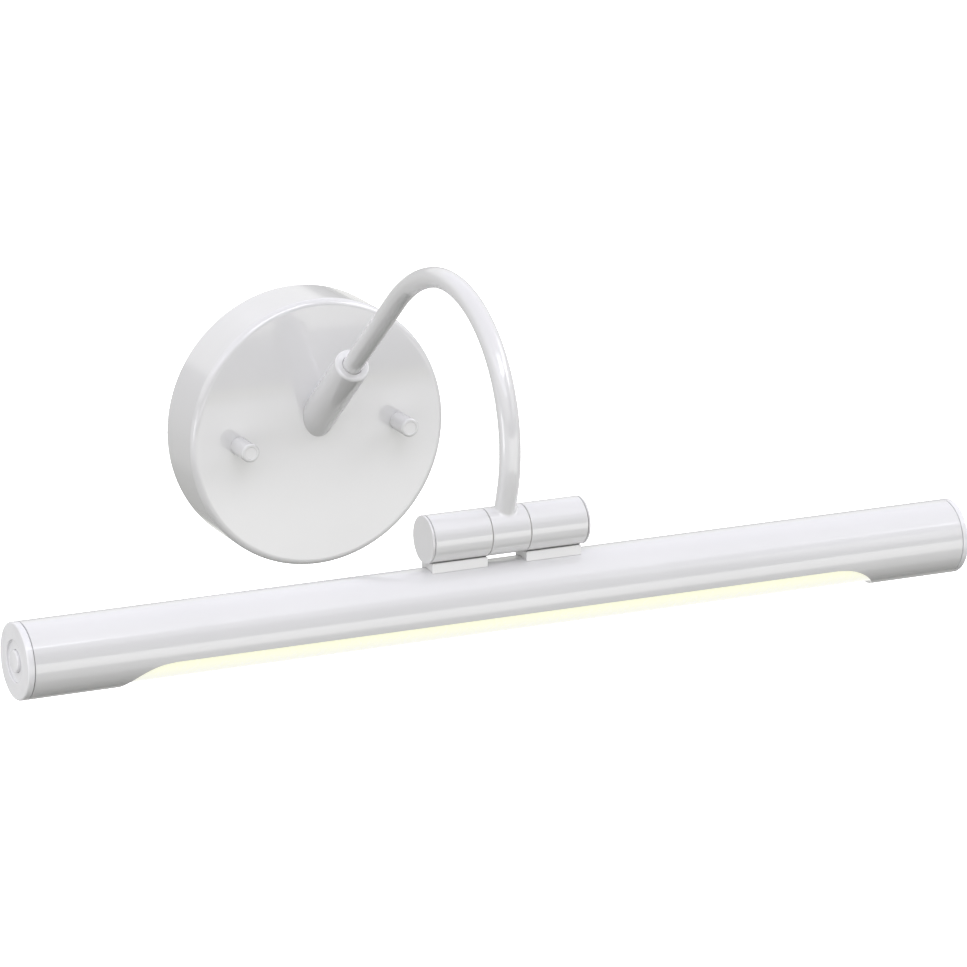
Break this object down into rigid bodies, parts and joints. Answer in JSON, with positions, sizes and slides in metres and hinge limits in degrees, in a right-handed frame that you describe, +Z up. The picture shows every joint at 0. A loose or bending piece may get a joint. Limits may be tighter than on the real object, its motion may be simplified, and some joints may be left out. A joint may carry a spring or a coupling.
{
  "type": "picture light",
  "caption": "Wall picture light: a round canopy with a curved arm and a long tubular lamp that tilts in a barrel knuckle, with a lit opal diffuser underneath.",
  "frame": {"origin": "centre of the canopy's back rim, on the wall", "axes": "+X to the right seen from the room and along the lamp, +Y into the wall, +Z up; the lamp reaches towards -Y"},
  "size_m": [0.4064, 0.215, 0.1558],
  "materials": {
    "white_paint": "white gloss powder coat",
    "zinc_steel": "bright zinc plate",
    "brass": "turned brass",
    "bare_aluminium": "mill-finish extrusion",
    "white_plastic": "moulded white, satin gloss",
    "nylon": "natural moulded nylon",
    "driver_plastic": "fine spark-textured moulding",
    "dark_plastic": "black moulding",
    "circuit_board": "green solder mask",
    "white_board": "white solder mask on aluminium",
    "capacitor_sleeve": "shrink sleeve",
    "led_phosphor": "yellow phosphor in a white cup",
    "opal_diffuser": "opal acrylic, lit from within",
    "white_pvc": "round flex sheath",
    "lead_insulation": "single-core insulation",
    "earth_insulation": "green and yellow insulation"
  },
  "bodies": {
    "wall_unit": {"arm_flex": "white_pvc", "arm_socket": "white_paint", "arm_tube": "white_paint", "cable_bush": "nylon", "canopy_cover": "white_paint", "centre_barrel": "white_paint", "driver_base": "driver_plastic", "driver_board": "circuit_board", "driver_capacitors": "capacitor_sleeve", "driver_case": "driver_plastic", "driver_screws": "zinc_steel", "driver_transformer": "dark_plastic", "earth_eyelet": "brass", "earth_lead": "earth_insulation", "earth_screw": "zinc_steel", "flex_clip": "nylon", "flex_clip_screw": "zinc_steel", "pivot_nuts": "zinc_steel", "pivot_tube": "brass", "plate_studs": "zinc_steel", "socket_grub_screw": "zinc_steel", "socket_locknut": "zinc_steel", "socket_washer": "zinc_steel", "spring_washers": "zinc_steel", "supply_leads": "lead_insulation", "terminal_block": "nylon", "terminal_fixing_screw": "zinc_steel", "terminal_inserts": "brass", "terminal_screws": "zinc_steel", "wall_plate": "zinc_steel"},
    "lamp_head": {"board_lead": "lead_insulation", "board_screws": "zinc_steel", "diffuser": "opal_diffuser", "friction_washers": "nylon", "heat_sink_bar": "bare_aluminium", "lamp_flex": "white_pvc", "lamp_tube": "white_paint", "lead_connector": "nylon", "led_board": "white_board", "led_chips": "led_phosphor", "left_barrel": "white_paint", "left_barrel_cap": "white_paint", "left_end_cap": "white_plastic", "left_saddle": "white_paint", "right_barrel": "white_paint", "right_barrel_cap": "white_paint", "right_cap_plug": "white_plastic", "right_end_cap": "white_plastic", "right_saddle": "white_paint", "saddle_screws": "zinc_steel", "switch_body": "dark_plastic", "switch_leads": "lead_insulation", "switch_terminals": "brass"},
    "switch_button": {"switch_button": "white_plastic"},
    "left_thumb_nut": {"left_thumb_nut": "white_paint"},
    "right_thumb_nut": {"right_thumb_nut": "white_paint"}
  },
  "joints": [
    {"name": "lamp_tilt", "type": "hinge", "parent": "wall_unit", "child": "lamp_head", "pos_m": [0, -0.2, 0.0065], "axis": [1, 0, 0], "range_deg": [-90, 90]},
    {"name": "switch_press", "type": "slide", "parent": "lamp_head", "child": "switch_button", "axis": [1, 0, 0], "range_m": [0, 0.0015], "stiffness_N_per_m": 600},
    {"name": "left_nut_turn", "type": "hinge", "parent": "wall_unit", "child": "left_thumb_nut", "pos_m": [-0.03627, -0.03, -0.00139], "axis": [0, -1, 0], "continuous": true},
    {"name": "right_nut_turn", "type": "hinge", "parent": "wall_unit", "child": "right_thumb_nut", "pos_m": [0.03627, -0.03, 0.00139], "axis": [0, -1, 0], "continuous": true}
  ]
}
